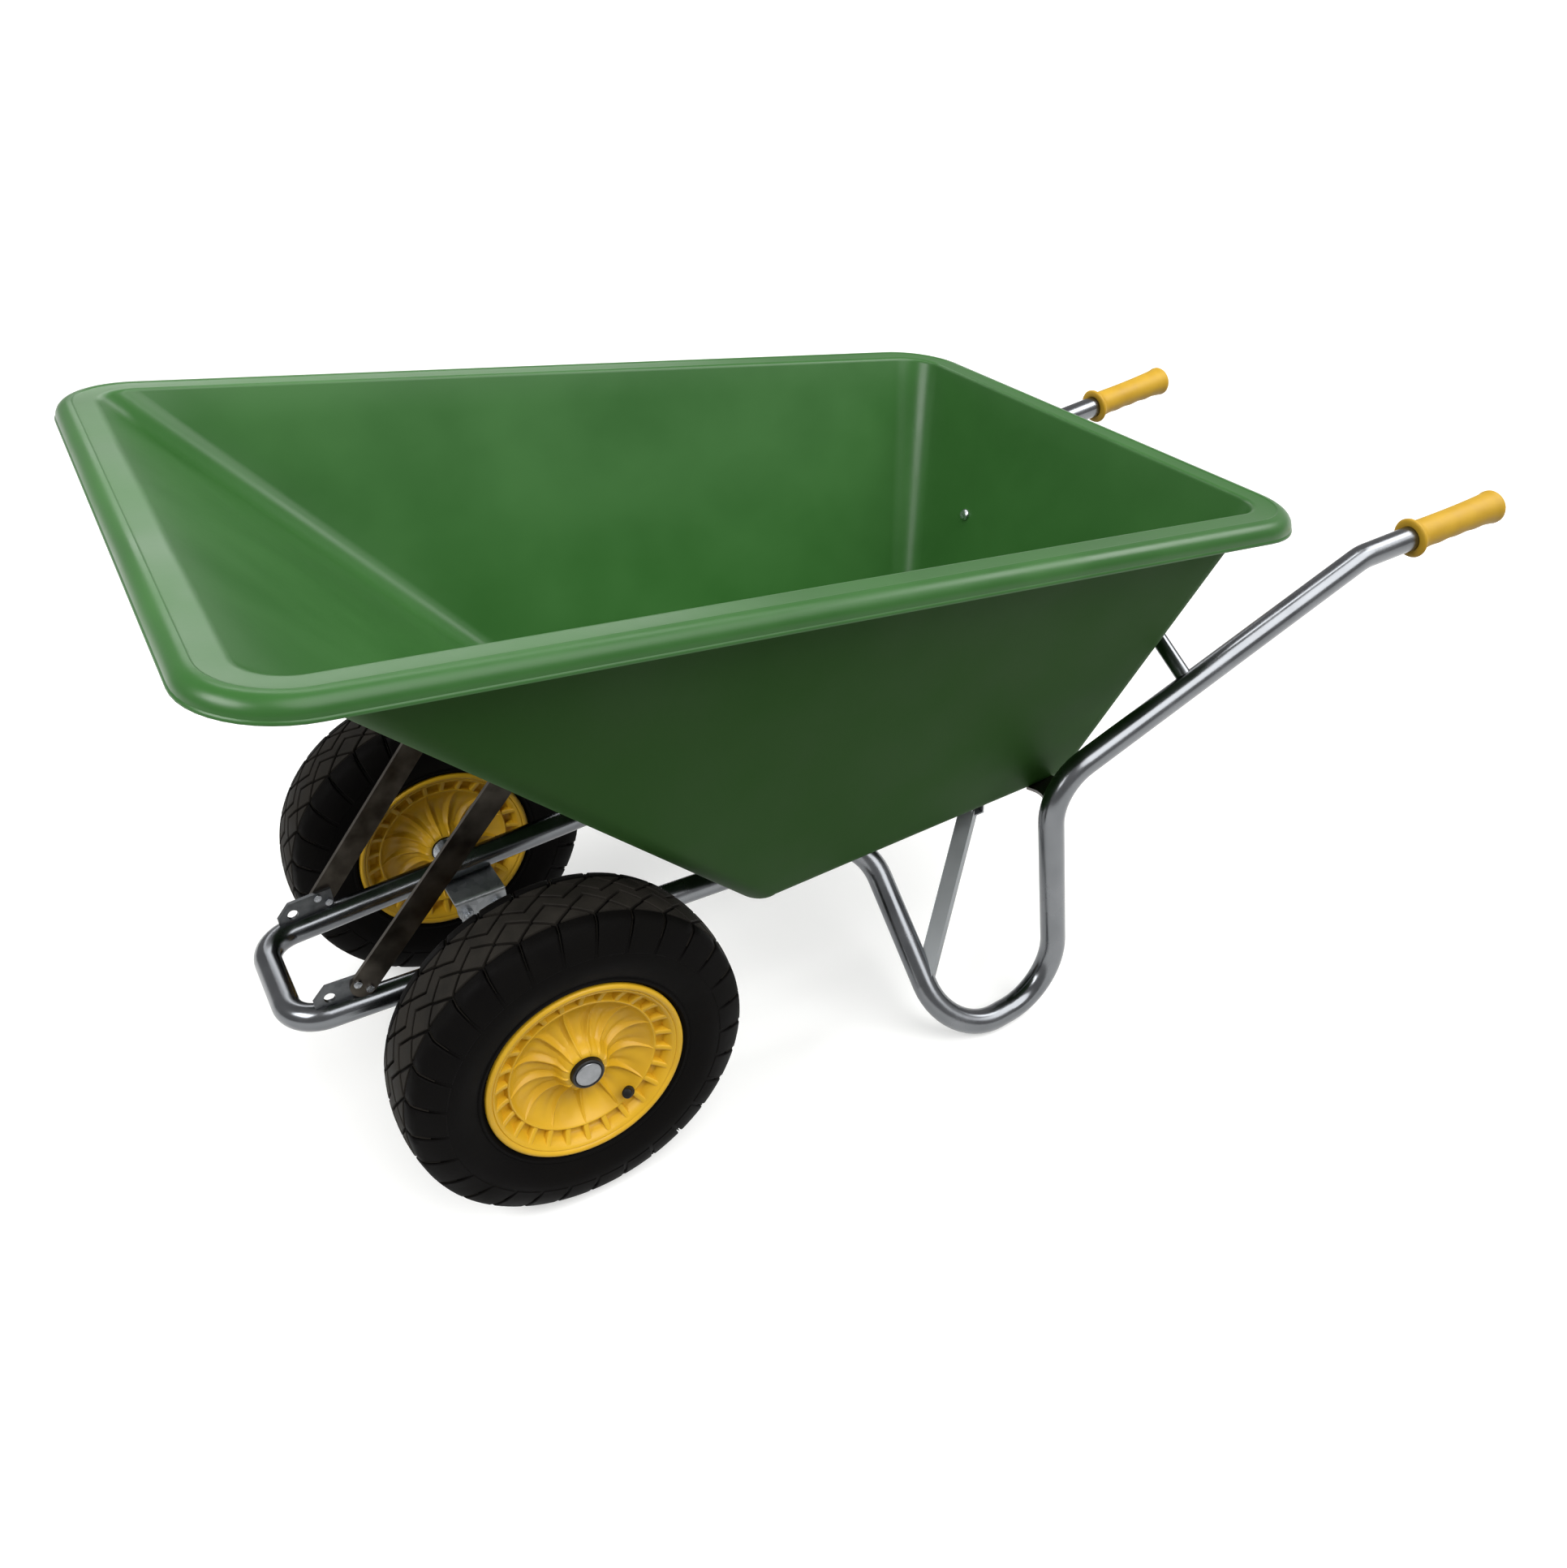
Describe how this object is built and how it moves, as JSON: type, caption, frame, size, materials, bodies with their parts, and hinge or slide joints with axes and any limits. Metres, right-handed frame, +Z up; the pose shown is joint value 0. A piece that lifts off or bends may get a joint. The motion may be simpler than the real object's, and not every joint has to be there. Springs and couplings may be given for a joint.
{
  "type": "two-wheel wheelbarrow",
  "caption": "Wheelbarrow with a deep moulded tub on a bent tube frame, twin pneumatic wheels on stub axles under the front arms, loop legs and gripped handles.",
  "frame": {"origin": "centre of the bounding box on the floor, under the tyres and the leg loops", "axes": "+X to the nose, +Y to the barrow's left, +Z up"},
  "size_m": [1.6184, 0.8582, 0.8293],
  "materials": {
    "tub_plastic": "moulded, satin gloss",
    "galvanised_tube": "bright galvanised, drawn tube",
    "galvanised_plate": "galvanised, dull spangle",
    "dark_steel": "dark coated flat bar",
    "axle_steel": "turned",
    "zinc_fasteners": "zinc plated",
    "grip_rubber": "soft moulded",
    "tyre": "moulded rubber",
    "tube_rubber": "smooth rubber",
    "rim_plastic": "moulded, satin gloss",
    "bush_plastic": "moulded nylon",
    "cap_steel": "pressed, dull zinc",
    "cap_plastic": "moulded"
  },
  "bodies": {
    "chassis": {"tub": "tub_plastic", "front_bow_tube": "galvanised_tube", "rear_bow_tube": "galvanised_tube", "cross_bar": "galvanised_tube", "tub_bolts": "zinc_fasteners", "tub_washers": "zinc_fasteners", "tub_nuts": "zinc_fasteners", "stay_rivets": "zinc_fasteners", "hanger_bolts": "zinc_fasteners", "hanger_nuts": "zinc_fasteners", "left_leg_tube": "galvanised_tube", "left_grip": "grip_rubber", "left_lug_plate": "galvanised_plate", "left_front_stay": "dark_steel", "left_hanger_bracket": "galvanised_plate", "left_stub_axle": "axle_steel", "left_leg_brace": "galvanised_tube", "left_side_gusset": "dark_steel", "left_hub_cap": "cap_steel", "left_thrust_washer": "zinc_fasteners", "right_leg_tube": "galvanised_tube", "right_grip": "grip_rubber", "right_lug_plate": "galvanised_plate", "right_front_stay": "dark_steel", "right_hanger_bracket": "galvanised_plate", "right_stub_axle": "axle_steel", "right_leg_brace": "galvanised_tube", "right_side_gusset": "dark_steel", "right_hub_cap": "cap_steel", "right_thrust_washer": "zinc_fasteners"},
    "left_wheel": {"left_tyre": "tyre", "left_inner_tube": "tube_rubber", "left_rim": "rim_plastic", "left_outer_bush": "bush_plastic", "left_inner_bush": "bush_plastic", "left_valve_stem": "tube_rubber", "left_valve_cap": "cap_plastic"},
    "right_wheel": {"right_tyre": "tyre", "right_inner_tube": "tube_rubber", "right_rim": "rim_plastic", "right_outer_bush": "bush_plastic", "right_inner_bush": "bush_plastic", "right_valve_stem": "tube_rubber", "right_valve_cap": "cap_plastic"}
  },
  "joints": [
    {"name": "left_wheel_spin", "type": "hinge", "parent": "chassis", "child": "left_wheel", "pos_m": [0.52704, 0.234, 0.2], "axis": [0, 1, 0], "continuous": true},
    {"name": "right_wheel_spin", "type": "hinge", "parent": "chassis", "child": "right_wheel", "pos_m": [0.52704, -0.234, 0.2], "axis": [0, 1, 0], "continuous": true}
  ]
}
